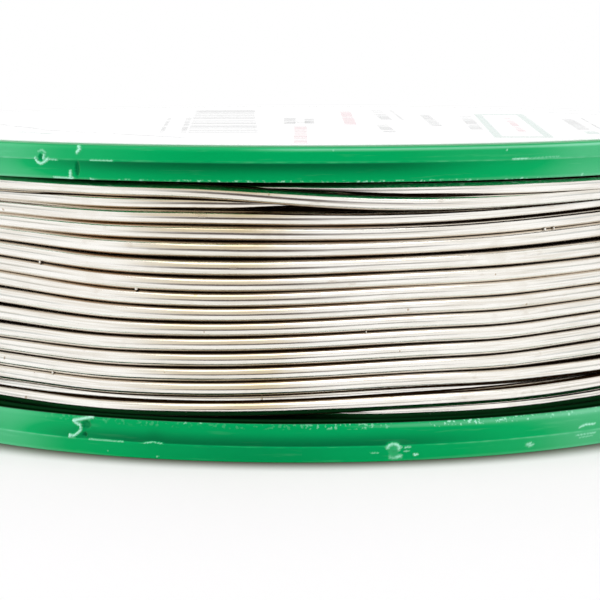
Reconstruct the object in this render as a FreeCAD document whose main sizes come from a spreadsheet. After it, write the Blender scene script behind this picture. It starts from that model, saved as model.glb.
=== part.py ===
import FreeCAD, Part
import math
import os
import Sketcher
from FreeCAD import Vector

# A spool of solder wire lying on its lower flange, in millimetres and degrees.
# The origin is the middle of the base, Z is the spool's axis and the labelled face is up.
# The spool is one moulding. The wire winds anticlockwise, seen from above, as it climbs.

sizes = {
    # The moulded spool
    "flange_diameter": 50.0,
    "lower_flange": 2.0,
    "upper_flange": 1.8,
    "winding_width": 12.2,
    "parting_inset": 0.8,
    "rim_draft": 3.0,
    "rim_chamfer": 0.25,
    "barrel_diameter": 27.0,
    "barrel_wall": 1.6,
    "bore_diameter": 12.0,
    "bore_wall": 1.6,
    "bore_chamfer": 0.5,
    "rib_count": 6,
    "rib_thickness": 1.4,
    "rib_recess": 1.0,
    # The paper label
    "label_margin": 1.0,
    "label_thickness": 0.1,
    # The wire
    "wire_diameter": 0.8,
    "rim_reach": 1.3,
    "turn_count": 14.5,
    "turn_gap": 0.42,
    "turn_sides": 4,
    "barrel_clearance": 0.05,
    "seat_clearance": 0.03,
    "climb_depth": 0.45,
    "climb_angle": 14.0,
    "mouth_clearance": 0.15,
    "start_hole_clearance": 0.25,
    "start_end_recess": 0.3,
    "flux_share": 0.4,
}

document = FreeCAD.newDocument("SolderSpool")


def fill_sheet():
    sheet = document.addObject("Spreadsheet::Sheet", "Sizes")
    for row, (name, value) in enumerate(sizes.items(), start=1):
        sheet.set(f"A{row}", name)
        sheet.set(f"B{row}", str(value))
        sheet.setAlias(f"B{row}", name)
    document.recompute()
    return sheet


sheet = fill_sheet()

# Places that several pieces share, as expressions on the sheet
flange_radius = "Sizes.flange_diameter / 2"
barrel_radius = "Sizes.barrel_diameter / 2"
bore_radius = "Sizes.bore_diameter / 2"
well_inner = f"({bore_radius} + Sizes.bore_wall)"
well_outer = f"({barrel_radius} - Sizes.barrel_wall)"
upper_inside = "(Sizes.lower_flange + Sizes.winding_width)"
full_height = f"({upper_inside} + Sizes.upper_flange)"
face_radius = f"({flange_radius} - Sizes.parting_inset * tan(Sizes.rim_draft))"
turn_pitch = "((Sizes.winding_width - Sizes.wire_diameter) / Sizes.turn_count)"
tube_diameter = f"({turn_pitch} - Sizes.turn_gap)"
turn_radius = f"({flange_radius} - Sizes.rim_reach - {tube_diameter} / 2)"
core_radius = f"({flange_radius} - Sizes.rim_reach - {tube_diameter} - Sizes.seat_clearance)"
first_turn_height = "(Sizes.lower_flange + Sizes.wire_diameter / 2)"
flux_radius = f"(Sizes.flux_share * {tube_diameter} / 2)"
mouth_half_width = f"({tube_diameter} / 2 + Sizes.mouth_clearance)"
mouth_floor = f"({turn_radius} - Sizes.climb_depth - {mouth_half_width})"
start_hole_radius = "(Sizes.wire_diameter / 2 + Sizes.start_hole_clearance)"
start_hole_distance = f"({barrel_radius} + {start_hole_radius})"


def worth(expression):
    return float(sheet.evalExpression(expression))


def new_body(label):
    body = document.addObject("PartDesign::Body", label)
    body.Label = label
    return body


def new_sketch(body, name, plane):
    sketch = body.newObject("Sketcher::SketchObject", name)
    support = next(item for item in body.Origin.OriginFeatures if item.Role == plane)
    sketch.AttachmentSupport = [(support, "")]
    sketch.MapMode = "FlatFace"
    return sketch


def bind_point(sketch, edge, end, across, along):
    for kind, expression in (("DistanceX", across), ("DistanceY", along)):
        number = sketch.addConstraint(Sketcher.Constraint(kind, edge, end, worth(expression)))
        sketch.setExpression(f"Constraints[{number}]", expression)


def add_outline(sketch, corners):
    # A closed outline of straight edges, each corner bound to its two expressions
    points = [Vector(worth(across), worth(along), 0) for across, along in corners]
    for here, there in zip(points, points[1:] + points[:1]):
        sketch.addGeometry(Part.LineSegment(here, there), False)
    for edge, (across, along) in enumerate(corners):
        following = (edge + 1) % len(corners)
        sketch.addConstraint(Sketcher.Constraint("Coincident", edge, 2, following, 1))
        bind_point(sketch, edge, 1, across, along)


def add_circle(sketch, across, along, radius):
    centre = Vector(worth(across), worth(along), 0)
    edge = sketch.addGeometry(Part.Circle(centre, Vector(0, 0, 1), worth(radius)), False)
    bind_point(sketch, edge, 3, across, along)
    number = sketch.addConstraint(Sketcher.Constraint("Radius", edge, worth(radius)))
    sketch.setExpression(f"Constraints[{number}]", radius)


def revolve(body, name, sketch):
    feature = body.newObject("PartDesign::Revolution", name)
    feature.Profile = sketch
    feature.ReferenceAxis = (sketch, ["V_Axis"])
    feature.Angle = 360
    document.recompute()
    return feature


# The spool, one moulding: two flanges, the barrel between them and a bore tube inside it.
# Each rim is widest at its parting line and drafted to both sides of it.

def add_spool():
    body = new_body("spool")
    outline = new_sketch(body, "SpoolOutline", "XZ_Plane")
    chamfer_radius = f"{bore_radius} + Sizes.bore_chamfer"
    lower_lip = f"{flange_radius} - (Sizes.lower_flange - Sizes.parting_inset) * tan(Sizes.rim_draft)"
    upper_lip = f"{flange_radius} - (Sizes.upper_flange - Sizes.parting_inset) * tan(Sizes.rim_draft)"
    add_outline(outline, [
        (chamfer_radius, "0"),
        (well_inner, "0"),
        (well_inner, upper_inside),
        (well_outer, upper_inside),
        (well_outer, "0"),
        (face_radius, "0"),
        (flange_radius, "Sizes.parting_inset"),
        (lower_lip, "Sizes.lower_flange"),
        (barrel_radius, "Sizes.lower_flange"),
        (barrel_radius, upper_inside),
        (upper_lip, upper_inside),
        (flange_radius, f"{full_height} - Sizes.parting_inset"),
        (face_radius, full_height),
        (chamfer_radius, full_height),
        (bore_radius, f"{full_height} - Sizes.bore_chamfer"),
        (bore_radius, "Sizes.bore_chamfer"),
    ])
    turned = revolve(body, "Turned", outline)
    add_rim_chamfers(body, turned)
    add_ribs(body)
    add_start_hole(body)
    return body


def add_rim_chamfers(body, turned):
    # The outer edge of both flange faces, found as the circles at the face's radius
    edges = []
    for number, edge in enumerate(turned.Shape.Edges, start=1):
        on_face = abs(edge.BoundBox.ZLength) < 1e-6
        if on_face and abs(edge.BoundBox.XMax - worth(face_radius)) < 1e-6:
            edges.append(f"Edge{number}")
    chamfer = body.newObject("PartDesign::Chamfer", "RimChamfers")
    chamfer.Base = (turned, edges)
    chamfer.setExpression("Size", "Sizes.rim_chamfer")
    document.recompute()


def add_ribs(body):
    # Ribs cross the well between the bore tube and the barrel, a little short of the base
    middle_of_bore_wall = f"{bore_radius} + Sizes.bore_wall / 2"
    middle_of_barrel_wall = f"{barrel_radius} - Sizes.barrel_wall / 2"
    half_rib = "Sizes.rib_thickness / 2"
    sketch = new_sketch(body, "RibSection", "XY_Plane")
    sketch.setExpression("AttachmentOffset.Base.z", "Sizes.rib_recess")
    add_outline(sketch, [
        (middle_of_bore_wall, f"-{half_rib}"),
        (middle_of_barrel_wall, f"-{half_rib}"),
        (middle_of_barrel_wall, half_rib),
        (middle_of_bore_wall, half_rib),
    ])
    rib = body.newObject("PartDesign::Pad", "Rib")
    rib.Profile = sketch
    rib.setExpression("Length", f"{upper_inside} - Sizes.rib_recess")
    document.recompute()
    ribs = body.newObject("PartDesign::PolarPattern", "Ribs")
    ribs.Originals = [rib]
    ribs.Axis = (sketch, ["N_Axis"])
    ribs.Angle = 360
    ribs.setExpression("Occurrences", "Sizes.rib_count")
    body.Tip = ribs
    document.recompute()


def add_start_hole(body):
    # The wire's inner end is held in a hole through the lower flange, beside the barrel
    sketch = new_sketch(body, "StartHoleCircle", "XY_Plane")
    add_circle(sketch, "0", start_hole_distance, start_hole_radius)
    hole = body.newObject("PartDesign::Pocket", "StartHole")
    hole.Profile = sketch
    hole.Reversed = True
    hole.setExpression("Length", "Sizes.lower_flange")
    document.recompute()


# The paper label on the upper face. It has no hole, so it closes the bore's upper mouth.

def add_label():
    label = document.addObject("Part::Cylinder", "face_label")
    label.Label = "face_label"
    label.setExpression("Radius", f"{face_radius} - Sizes.label_margin")
    label.setExpression("Height", "Sizes.label_thickness")
    label.setExpression("Placement.Base.z", full_height)
    return label


# The buried layers of wire, as one plain ring round the barrel. Its mouth is where the wire
# comes up from the layer below, and its peg is the wire's inner end in the start hole.

def add_inner_layers():
    body = new_body("wire_inner_layers")
    inside = f"{barrel_radius} + Sizes.barrel_clearance"
    section = new_sketch(body, "LayerSection", "XZ_Plane")
    add_outline(section, [
        (inside, "Sizes.lower_flange"),
        (core_radius, "Sizes.lower_flange"),
        (core_radius, upper_inside),
        (inside, upper_inside),
    ])
    revolve(body, "Layers", section)

    mouth_top = f"{first_turn_height} + {mouth_half_width}"
    mouth_bottom = f"{first_turn_height} - {mouth_half_width}"
    section = new_sketch(body, "MouthSection", "XZ_Plane")
    add_outline(section, [
        (mouth_floor, mouth_bottom),
        (flange_radius, mouth_bottom),
        (flange_radius, mouth_top),
        (mouth_floor, mouth_top),
    ])
    mouth = body.newObject("PartDesign::Pocket", "Mouth")
    mouth.Profile = section
    mouth.setExpression("Length", f"sqrt({core_radius} ^ 2 - {mouth_floor} ^ 2) + Sizes.wire_diameter")
    document.recompute()

    circle = new_sketch(body, "StartEndCircle", "XY_Plane")
    circle.setExpression("AttachmentOffset.Base.z", "Sizes.start_end_recess")
    add_circle(circle, "0", start_hole_distance, "Sizes.wire_diameter / 2")
    peg = body.newObject("PartDesign::Pad", "StartEnd")
    peg.Profile = circle
    peg.setExpression("Length", "Sizes.lower_flange - Sizes.start_end_recess + Sizes.wire_diameter")
    document.recompute()
    return body


# The outer layer, one unbroken tube. It is slimmer than the wire, so that each turn stands
# clear of the next, and its outer edge is at the wire's own radius. Its section has few sides,
# with a corner up, down, outwards and inwards, so that so many turns stay light.

def arc_through(start, corner, end):
    # The arc that leaves start towards corner and reaches end coming from corner
    chord_middle = (start + end) / 2
    half_chord = (end - start).Length / 2
    rise = (corner - chord_middle).Length
    half_turn = math.atan2(rise, half_chord)
    middle = chord_middle + (corner - chord_middle) * (half_chord * math.tan(half_turn / 2) / rise)
    return Part.Arc(start, middle, end).toShape()


def biarc(start, start_way, end, end_way):
    # Two arcs that meet in one direction, from start along start_way to end along end_way
    span = end - start
    both = start_way + end_way
    spread = 2 * (1 - start_way.dot(end_way))
    root = math.sqrt(span.dot(both) ** 2 + spread * span.dot(span))
    reach = span.dot(span) / (span.dot(both) + root)
    first_corner = start + start_way * reach
    second_corner = end - end_way * reach
    meeting = (first_corner + second_corner) / 2
    return [arc_through(start, first_corner, meeting), arc_through(meeting, second_corner, end)]


def turn_station(angle):
    # The point on the helix at this angle in degrees from its mouth, and the way it runs there
    radius = worth(turn_radius)
    pitch = worth(turn_pitch)
    bearing = math.radians(angle)
    climbed = pitch * (angle - sheet.climb_angle) / 360
    point = Vector(radius * math.cos(bearing), radius * math.sin(bearing), 0)
    point.z = worth(first_turn_height) + climbed
    way = Vector(-radius * math.sin(bearing), radius * math.cos(bearing), pitch / (2 * math.pi))
    return point, way.normalize()


def turns_path():
    tube = worth(tube_diameter)
    mouth_way = Vector(0, 1, 0)
    start = Vector(worth(turn_radius) - sheet.climb_depth, 0, worth(first_turn_height))
    lifted = start + mouth_way * tube
    edges = [Part.LineSegment(start, lifted).toShape()]
    here, way = lifted, mouth_way
    half_turns = round(2 * sheet.turn_count)
    for step in range(half_turns + 1):
        there, next_way = turn_station(sheet.climb_angle + 180 * step)
        edges += biarc(here, way, there, next_way)
        here, way = there, next_way
    end = here + way * tube
    edges.append(Part.LineSegment(here, end).toShape())
    return Part.Wire(edges), end, way


def turn_section(centre, tube):
    # The section at the start, where the path runs along Y, and its area
    sides = round(sheet.turn_sides)
    turned = 2 * math.pi / sides
    corners = [
        centre + Vector(math.cos(turned * side), 0, math.sin(turned * side)) * (tube / 2)
        for side in range(sides)
    ]
    area = sides * (tube / 2) ** 2 * math.sin(turned) / 2
    return Part.makePolygon(corners + corners[:1]), area


def least_gap(path, tube):
    # Points along the path, half a tube apart, each against those about one turn further on
    spacing = tube / 2
    points = path.discretize(Distance=spacing)
    full_turn = round(2 * math.pi * worth(turn_radius) / spacing)
    reach = round(2 * sheet.wire_diameter / spacing)
    nearest = min(
        (points[number] - points[number + full_turn + shift]).Length
        for number in range(len(points) - full_turn - reach)
        for shift in range(-reach, reach + 1)
    )
    return nearest - tube


def add_outer_turns():
    tube = worth(tube_diameter)
    path, end, end_way = turns_path()
    start = path.Edges[0].valueAt(path.Edges[0].FirstParameter)
    section, area = turn_section(start, tube)
    wire = path.makePipeShell([section], True, False)
    bore = Part.makeCylinder(worth(flux_radius), tube, end - end_way * tube, end_way)
    turns = document.addObject("Part::Feature", "wire_outer_turns")
    turns.Label = "wire_outer_turns"
    turns.Shape = wire.cut(bore)
    print(f"outer turns: {path.Length:.0f} mm of tube {tube:.3f} mm across, "
          f"volume {wire.Volume:.1f} against {area * path.Length:.1f} mm3, "
          f"least gap between turns {least_gap(path, tube):.3f} mm")
    return turns, end, end_way


# The flux that fills the wire's middle, shown where the wire is cut

def add_flux(end, end_way):
    flux = document.addObject("Part::Cylinder", "flux_core")
    flux.Label = "flux_core"
    flux.setExpression("Radius", flux_radius)
    flux.setExpression("Height", tube_diameter)
    turned = FreeCAD.Rotation(Vector(0, 0, 1), end_way)
    flux.Placement = FreeCAD.Placement(end - end_way * worth(tube_diameter), turned)
    return flux


def check(pieces):
    document.recompute()
    for item in document.Objects:
        if "Invalid" in item.State or "Error" in item.State:
            raise RuntimeError(f"{item.Label} did not build: {item.State}")
    for piece in pieces:
        if piece.Shape.isNull() or not piece.Shape.isValid() or not piece.Shape.Solids:
            raise RuntimeError(f"{piece.Label} is not a sound solid")


outer_turns, wire_end, wire_end_way = add_outer_turns()
pieces = [add_spool(), add_label(), add_inner_layers(), outer_turns, add_flux(wire_end, wire_end_way)]
check(pieces)

os.makedirs("parts", exist_ok=True)
for piece in pieces:
    box = piece.Shape.BoundBox
    print(f"{piece.Label}: {len(piece.Shape.Solids)} solid, {piece.Shape.Volume:.1f} mm3, "
          f"{box.XLength:.2f} x {box.YLength:.2f} x {box.ZLength:.2f} mm from z {box.ZMin:.2f}")
    piece.Shape.exportStep(f"parts/{piece.Label}.step")
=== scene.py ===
import bmesh
import bpy
import numpy as np
from mathutils import Euler, Matrix, Vector


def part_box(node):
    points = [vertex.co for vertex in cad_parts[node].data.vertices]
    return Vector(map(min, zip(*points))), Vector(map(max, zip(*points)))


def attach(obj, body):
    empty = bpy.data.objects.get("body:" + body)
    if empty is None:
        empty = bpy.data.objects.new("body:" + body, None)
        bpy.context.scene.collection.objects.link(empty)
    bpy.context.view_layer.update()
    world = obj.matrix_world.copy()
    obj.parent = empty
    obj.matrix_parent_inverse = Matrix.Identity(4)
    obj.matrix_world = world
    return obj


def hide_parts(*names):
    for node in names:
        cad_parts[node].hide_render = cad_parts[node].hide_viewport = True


# A spool of solder wire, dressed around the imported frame.
# Lengths are in millimetres and angles in degrees until a mesh is made.
# A bearing of 0 is the front of the spool, on -Y, and bearings grow to the right, towards +X.

millimetre = 0.001
fullTurn = 360.0

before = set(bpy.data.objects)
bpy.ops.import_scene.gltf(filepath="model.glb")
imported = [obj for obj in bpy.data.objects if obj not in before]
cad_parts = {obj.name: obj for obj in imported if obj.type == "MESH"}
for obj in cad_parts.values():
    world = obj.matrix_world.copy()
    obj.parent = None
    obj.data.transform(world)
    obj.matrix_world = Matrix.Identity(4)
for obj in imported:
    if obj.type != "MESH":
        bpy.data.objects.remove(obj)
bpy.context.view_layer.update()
root = "root"
spoolBox = [np.array(corner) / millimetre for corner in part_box("spool")]
labelBox = [np.array(corner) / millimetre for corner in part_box("face_label")]


# Helpers for surfaces

def smoothStep(value, start, end):
    # 0 before start, 1 after end, and 3x^2 - 2x^3 between them
    share = np.clip((value - start) / (end - start), 0.0, 1.0)
    return share * share * (3 - 2 * share)


def bump(value, centre, width):
    # A bell curve, 1 at the centre and 0.37 at one width from it
    return np.exp(-((value - centre) / width) ** 2)


def waves(value, seed, periods):
    # The mean of sines with the given periods in a turn and random phases, between about -1 and 1
    draw = np.random.default_rng(seed)
    phases = draw.uniform(0, 2 * np.pi, len(periods))
    total = sum(np.sin(np.radians(value) * period + phase) for period, phase in zip(periods, phases))
    return total / len(periods)


def throughPoints(value, knots, heights):
    # A smooth curve through points: between two of them a cubic with the slopes of their neighbours
    slopes = np.gradient(heights, knots)
    number = np.clip(np.searchsorted(knots, value) - 1, 0, len(knots) - 2)
    span = knots[number + 1] - knots[number]
    share = np.clip((value - knots[number]) / span, 0.0, 1.0)
    blend = share * share * (3 - 2 * share)
    entering = share * (1 - share) ** 2 * span * slopes[number]
    leaving = share * share * (share - 1) * span * slopes[number + 1]
    return heights[number] * (1 - blend) + heights[number + 1] * blend + entering + leaving


def awayFromLine(across, along, points):
    # The distance of each place to the nearest part of an open line of points
    nearest = np.full(np.broadcast(across, along).shape, np.inf)
    for (startAcross, startAlong), (endAcross, endAlong) in zip(points[:-1], points[1:]):
        wayAcross, wayAlong = endAcross - startAcross, endAlong - startAlong
        share = (across - startAcross) * wayAcross + (along - startAlong) * wayAlong
        share = np.clip(share / (wayAcross ** 2 + wayAlong ** 2), 0.0, 1.0)
        apart = np.hypot(across - startAcross - share * wayAcross, along - startAlong - share * wayAlong)
        nearest = np.minimum(nearest, apart)
    return nearest


def onSpool(radius, bearing, height):
    # x = radius sin(bearing), y = -radius cos(bearing), z = height
    angle = np.radians(bearing)
    radius, angle, height = np.broadcast_arrays(radius, angle, height)
    return np.stack([radius * np.sin(angle), -radius * np.cos(angle), height], axis=-1)


def newObject(name, data):
    created = bpy.data.objects.new(name, data)
    bpy.context.scene.collection.objects.link(created)
    return created


def gridObject(name, points, closedRows=False, closedColumns=False, uv=None):
    # One quad for each cell of a grid of points. A closed grid joins its last line to its first.
    rows, columns = points.shape[:2]
    row, column = np.meshgrid(
        np.arange(rows if closedRows else rows - 1),
        np.arange(columns if closedColumns else columns - 1), indexing="ij")
    cornerRow = np.stack([row, row + 1, row + 1, row], axis=-1).reshape(-1, 4)
    cornerColumn = np.stack([column, column, column + 1, column + 1], axis=-1).reshape(-1, 4)
    quads = (cornerRow % rows) * columns + cornerColumn % columns
    flat = points.reshape(-1, 3)
    corners = flat[quads]
    crossed = np.cross(corners[:, 1], corners[:, 2]) + np.cross(corners[:, 2], corners[:, 3])
    if np.sum(corners[:, 0] * crossed) < 0:  # six times the volume, below 0 when inside out
        quads, cornerRow, cornerColumn = quads[:, ::-1], cornerRow[:, ::-1], cornerColumn[:, ::-1]
    mesh = bpy.data.meshes.new(name)
    mesh.from_pydata(flat * millimetre, [], quads)
    if uv is not None:
        layer = mesh.uv_layers.new(name="alongAndAround")
        along, around = uv
        pairs = np.stack([along[cornerRow], around[cornerColumn]], axis=-1)
        layer.uv.foreach_set("vector", pairs.astype(np.float32).ravel())
    mesh.shade_smooth()
    return newObject(name, mesh)


def joined(name, pieces):
    # Several closed shells as the mesh of one piece
    shape = bmesh.new()
    for piece in pieces:
        shape.from_mesh(piece.data)
    mesh = bpy.data.meshes.new(name)
    shape.to_mesh(mesh)
    shape.free()
    for piece in pieces:
        bpy.data.objects.remove(piece)
    mesh.shade_smooth()
    return newObject(name, mesh)


def cutAway(piece, cutter):
    # The piece without the space of the cutter
    modifier = piece.modifiers.new("cut", "BOOLEAN")
    modifier.object = cutter
    modifier.solver = "EXACT"
    settled = piece.evaluated_get(bpy.context.evaluated_depsgraph_get())
    piece.data = bpy.data.meshes.new_from_object(settled)
    piece.modifiers.clear()
    bpy.data.objects.remove(cutter)


def closePoles(piece):
    # Rings that shrink to one point become one vertex
    shape = bmesh.new()
    shape.from_mesh(piece.data)
    bmesh.ops.remove_doubles(shape, verts=shape.verts, dist=0.0005 * millimetre)
    bmesh.ops.dissolve_degenerate(shape, edges=shape.edges, dist=0.0001 * millimetre)
    shape.to_mesh(piece.data)
    shape.free()


def roundedOutline(corners, steps=5):
    # Each corner is (radius, height, rounding). A rounded corner becomes an arc that is
    # tangent to both of its edges, from a Bezier with its middle point on the corner.
    outline = []
    count = len(corners)
    for number, (radius, height, rounding) in enumerate(corners):
        here = np.array([radius, height])
        before = np.array(corners[number - 1][:2]) - here
        after = np.array(corners[(number + 1) % count][:2]) - here
        if rounding == 0:
            outline.append(here)
            continue
        start = here + before / np.linalg.norm(before) * rounding
        end = here + after / np.linalg.norm(after) * rounding
        share = np.linspace(0, 1, steps)[:, None]
        outline.extend((1 - share) ** 2 * start + 2 * share * (1 - share) * here + share ** 2 * end)
    return np.array(outline)


def resample(outline, spacing):
    # More points on the long edges of a closed outline, none more than spacing apart
    closed = np.vstack([outline, outline[:1]])
    points = []
    for start, end in zip(closed[:-1], closed[1:]):
        pieces = max(1, int(np.ceil(np.linalg.norm(end - start) / spacing(start, end))))
        points.append(start + (end - start) * (np.arange(pieces) / pieces)[:, None])
    return np.vstack(points)


# Helpers for materials. A value is a number, a colour or the output of a node.

def newMaterial(name):
    material = bpy.data.materials.new(name)
    material.use_nodes = True
    material.node_tree.nodes.clear()
    return material, material.node_tree


def isOutput(value):
    return isinstance(value, bpy.types.NodeSocket)


def addNode(tree, kind, settings=None, **inputs):
    # settings are the node's own properties, and inputs its sockets, by name or as _ and a number
    node = tree.nodes.new(kind)
    for key, value in (settings or {}).items():
        setattr(node, key, value)
    for key, value in inputs.items():
        socket = node.inputs[int(key[1:])] if key[0] == "_" else node.inputs[key.replace("_", " ")]
        if isOutput(value):
            tree.links.new(value, socket)
        else:
            socket.default_value = value
    return node


def finishMaterial(material, **inputs):
    shader = addNode(material.node_tree, "ShaderNodeBsdfPrincipled", **inputs)
    addNode(material.node_tree, "ShaderNodeOutputMaterial", Surface=shader.outputs[0])
    return material


def mathNode(kind, *values):
    # A Math node in the tree that its values come from
    tree = next(value.id_data for value in values if isOutput(value))
    inputs = {f"_{number}": value for number, value in enumerate(values)}
    return addNode(tree, "ShaderNodeMath", {"operation": kind}, **inputs).outputs[0]


def plus(first, second):
    return mathNode("ADD", first, second)


def minus(first, second):
    return mathNode("SUBTRACT", first, second)


def times(first, *others):
    for other in others:
        first = mathNode("MULTIPLY", first, other)
    return first


def ramp(value, fromLow, fromHigh, toLow=0.0, toHigh=1.0):
    # A smooth step between two levels
    return addNode(value.id_data, "ShaderNodeMapRange", {"interpolation_type": "SMOOTHSTEP"}, Value=value,
                   From_Min=fromLow, From_Max=fromHigh, To_Min=toLow, To_Max=toHigh).outputs[0]


def blendColour(factor, first, second):
    return addNode(factor.id_data, "ShaderNodeMix", {"data_type": "RGBA"},
                   _0=factor, _6=first, _7=second).outputs[2]


def objectPlace(tree):
    return addNode(tree, "ShaderNodeTexCoord").outputs["Object"]


def split(vector):
    return addNode(vector.id_data, "ShaderNodeSeparateXYZ", Vector=vector).outputs


def vectorMath(kind, *vectors):
    inputs = {f"_{number}": vector for number, vector in enumerate(vectors)}
    return addNode(vectors[0].id_data, "ShaderNodeVectorMath", {"operation": kind}, **inputs).outputs


def noise(place, scale, detail=3.0, roughness=0.5):
    return addNode(place.id_data, "ShaderNodeTexNoise", Vector=place, Scale=scale, Detail=detail,
                   Roughness=roughness).outputs["Fac"]


def relief(height, strength, distance):
    return addNode(height.id_data, "ShaderNodeBump", Strength=strength, Distance=distance,
                   Height=height).outputs[0]


def newMaskGroup(name, **inputs):
    # A node group that puts out one mask. An input without a value is a vector.
    group = bpy.data.node_groups.new(name, "ShaderNodeTree")
    for key, value in inputs.items():
        kind = "NodeSocketVector" if value is None else "NodeSocketFloat"
        socket = group.interface.new_socket(key.replace("_", " "), in_out="INPUT", socket_type=kind)
        if value is not None:
            socket.default_value = value
    group.interface.new_socket("Mask", in_out="OUTPUT", socket_type="NodeSocketFloat")
    return group, group.nodes.new("NodeGroupInput").outputs, group.nodes.new("NodeGroupOutput").inputs


def groupMask(tree, group, **inputs):
    return addNode(tree, "ShaderNodeGroup", {"node_tree": group}, **inputs).outputs["Mask"]


def scratchGroup():
    # Fine scratches along one way: noise stretched many times along X of its vector
    group, given, result = newMaskGroup("fineScratches", Vector=None, Density=4.0, Stretch=0.03,
                                        Threshold=0.6)
    stretch = addNode(group, "ShaderNodeCombineXYZ", X=given["Stretch"], Y=1.0, Z=1.0).outputs[0]
    streaks = noise(vectorMath("MULTIPLY", given["Vector"], stretch)[0], given["Density"], roughness=0.6)
    mask = ramp(streaks, given["Threshold"], plus(given["Threshold"], 0.12))
    group.links.new(mask, result["Mask"])
    return group


def speckGroup():
    # Small specks: the cells of a Voronoi pattern whose random value passes the density
    group, given, result = newMaskGroup("smallSpecks", Vector=None, Scale=1.0, Size=0.2, Density=0.1)
    cells = addNode(group, "ShaderNodeTexVoronoi", Vector=given["Vector"], Scale=given["Scale"]).outputs
    pick = addNode(group, "ShaderNodeSeparateColor", Color=cells["Color"]).outputs
    chosen = mathNode("LESS_THAN", pick[0], given["Density"])
    near = mathNode("LESS_THAN", cells["Distance"], times(given["Size"], pick[1]))
    group.links.new(times(chosen, near), result["Mask"])
    return group


fineScratches = scratchGroup()
smallSpecks = speckGroup()


# The camera, at the photo's angle

cameraPlace = {
    "distance": 150.0,
    "aside": -0.09,
    "height": 22.87,
    "pitchDown": 6.642,
    "roll": -0.072,
    "lens": 150.26,  # in millimetres on a 36 mm sensor
}


def addCamera():
    data = bpy.data.cameras.new("camera")
    data.lens = cameraPlace["lens"]
    data.sensor_width = 36.0
    data.clip_start = 0.005
    camera = newObject("camera", data)
    tilt = Euler((np.radians(90 - cameraPlace["pitchDown"]), 0, 0)).to_matrix()
    roll = Matrix.Rotation(np.radians(cameraPlace["roll"]), 3, "Z")
    camera.matrix_world = (tilt @ roll).to_4x4()
    camera.location = (cameraPlace["aside"] * millimetre, -cameraPlace["distance"] * millimetre,
                       cameraPlace["height"] * millimetre)
    bpy.context.scene.camera = camera


addCamera()
print("camera placed")


# The spool, one moulding. Its rims are finer than the rest, so that the marks on them show.
# Marks are placed by the distance round the rim from the front, across, and by height.

spoolLook = {
    "boreRadius": 6.0,
    "boreWall": 1.6,
    "boreChamfer": 0.5,
    "barrelRadius": 13.5,
    "barrelWall": 1.6,
    "lowerFlange": 2.0,
    "upperFlange": 1.8,
    "ribs": 6,
    "ribThickness": 1.4,
    "ribRecess": 1.0,
    "ribSink": 0.3,
    "edgeRounding": 0.15,
    "wellRounding": 0.3,
    "rootRounding": 0.2,
    "startHoleRadius": 0.65,
    "rimsFrom": 21.0,
    "partingInset": 0.8,
    "rimDraft": 0.06,
    "faceRounding": 0.26,
    "baseRounding": 0.06,
    "innerRounding": 0.14,
    "innerEdge": 1.66,
    "ledge": 0.06,
    "ridge": 0.03,
    "frontHalf": 44.0,
    "markedFrom": -34.0,
    "markedTo": -23.0,
    "frontStep": 0.14,
    "markedStep": 0.08,
    "backStep": 2.0,
    "bandStep": 0.05,
}

# Each line is (points, width, lift, shade) and each spot (across, height, half width, half height,
# lift, shade). A shade above 0 whitens the plastic, and on raised lines and spots it is partly painted
# highlight on their edges; a shade below 0 darkens it, as painted shade in dents. A strip is a line
# round the rim of painted highlight, or of painted shadow where its shade is below 0: (distance from
# the face, width, shade, and the bearings where it begins and is full). outerDark is painted shade
# on the outer band in front. The wave pushes the parting line aside at one place: (across, width,
# lift). The burrs on the inner edge have the bearings where they begin and are full, and their least
# share before that.
upperMarks = {
    "wave": (0.0, 1.0, 0.0),
    "outerDark": 0.0,
    "burrs": (-60, -50, 0.3),
    "strips": [(0.14, 0.06, 0.03, -60, -50), (0.14, 0.06, 0.34, -9, 1), (0.03, 0.04, -0.4, -60, -50),
               (1.72, 0.06, 0.10, -60, -50)],
    "lines": [
        ([(-14.53, 15.20), (-14.42, 15.03), (-14.20, 14.95), (-13.98, 15.03), (-13.72, 15.19)],
         0.07, 0.09, 1.0),
        ([(-14.36, 15.58), (-14.10, 15.66), (-13.88, 15.52)], 0.04, 0.03, 0.45),
        ([(-14.00, 15.20), (-13.97, 15.38)], 0.07, 0.06, 0.9),
        ([(-13.70, 15.18), (-13.15, 15.17)], 0.03, 0.04, 0.8),
        ([(-11.86, 15.90), (-11.76, 15.76), (-11.92, 15.60)], 0.07, 0.05, 1.0),
        ([(-12.34, 14.62), (-12.34, 14.40), (-12.27, 14.12)], 0.08, 0.06, 0.9),
        ([(-13.40, 14.27), (-12.20, 14.26)], 0.04, 0.04, 0.9),
        ([(-11.15, 14.24), (-10.90, 14.17)], 0.05, 0.06, 0.9),
        ([(-11.10, 15.20), (-9.80, 15.20)], 0.03, 0.04, 0.9),
        ([(11.12, 15.24), (12.00, 15.25)], 0.03, 0.03, 0.9),
        ([(12.00, 15.25), (14.00, 15.29)], 0.025, 0.02, 0.4),
        ([(15.57, 14.20), (15.57, 14.34)], 0.04, 0.03, 0.9),
    ],
    "spots": [
        (-14.20, 15.30, 0.13, 0.16, -0.08, -0.45),
        (-11.94, 14.74, 0.13, 0.42, -0.07, -0.6),
        (10.77, 15.71, 0.05, 0.04, 0.03, 0.8),
        (3.18, 14.22, 0.10, 0.05, 0.04, 0.5),
        (8.69, 14.22, 0.12, 0.05, 0.05, 0.6),
    ],
}
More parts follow.
